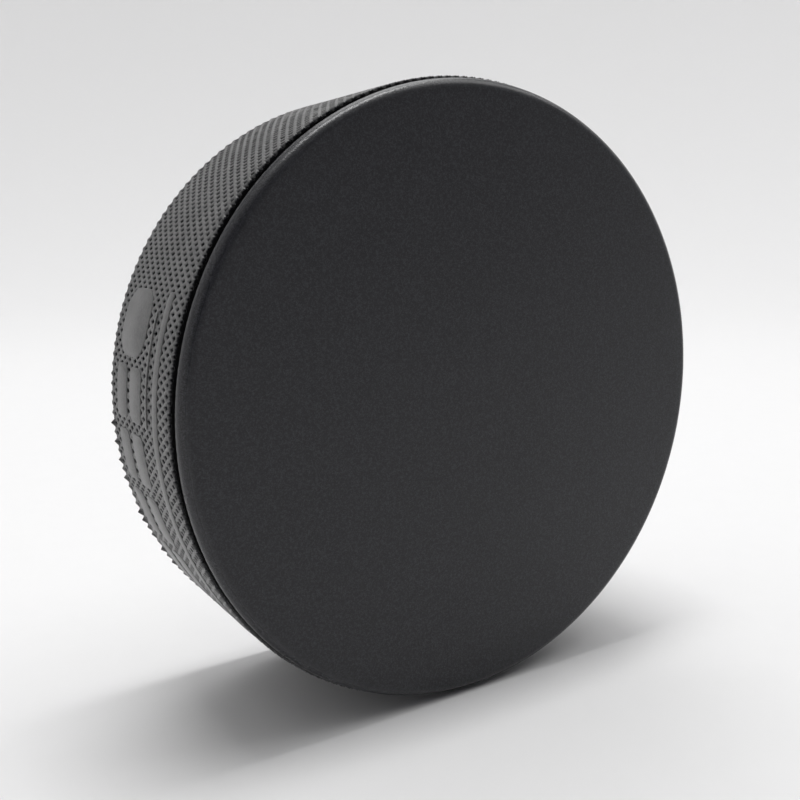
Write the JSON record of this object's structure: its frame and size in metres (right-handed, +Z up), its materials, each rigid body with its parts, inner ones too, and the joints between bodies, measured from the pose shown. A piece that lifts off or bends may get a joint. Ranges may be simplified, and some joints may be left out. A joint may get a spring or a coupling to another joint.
{
  "type": "hockey puck",
  "caption": "Solid rubber ice hockey puck: a thick flat disc with plain smooth faces, rounded rims and a knurled side band, standing on its rim.",
  "frame": {"origin": "the disc's centre, at mid-thickness on its own axis; the surface that the rim stands on is half the diameter below it", "axes": "+Z up; Y is the disc's own axis, with the plain front face looking along -Y and the back face along +Y; +X to the right when the front face is looked at"},
  "size_m": [0.0762, 0.0254, 0.0762],
  "materials": {
    "vulcanised_rubber": "matte"
  },
  "bodies": {
    "root": {"moulded_puck": "vulcanised_rubber"}
  },
  "joints": []
}
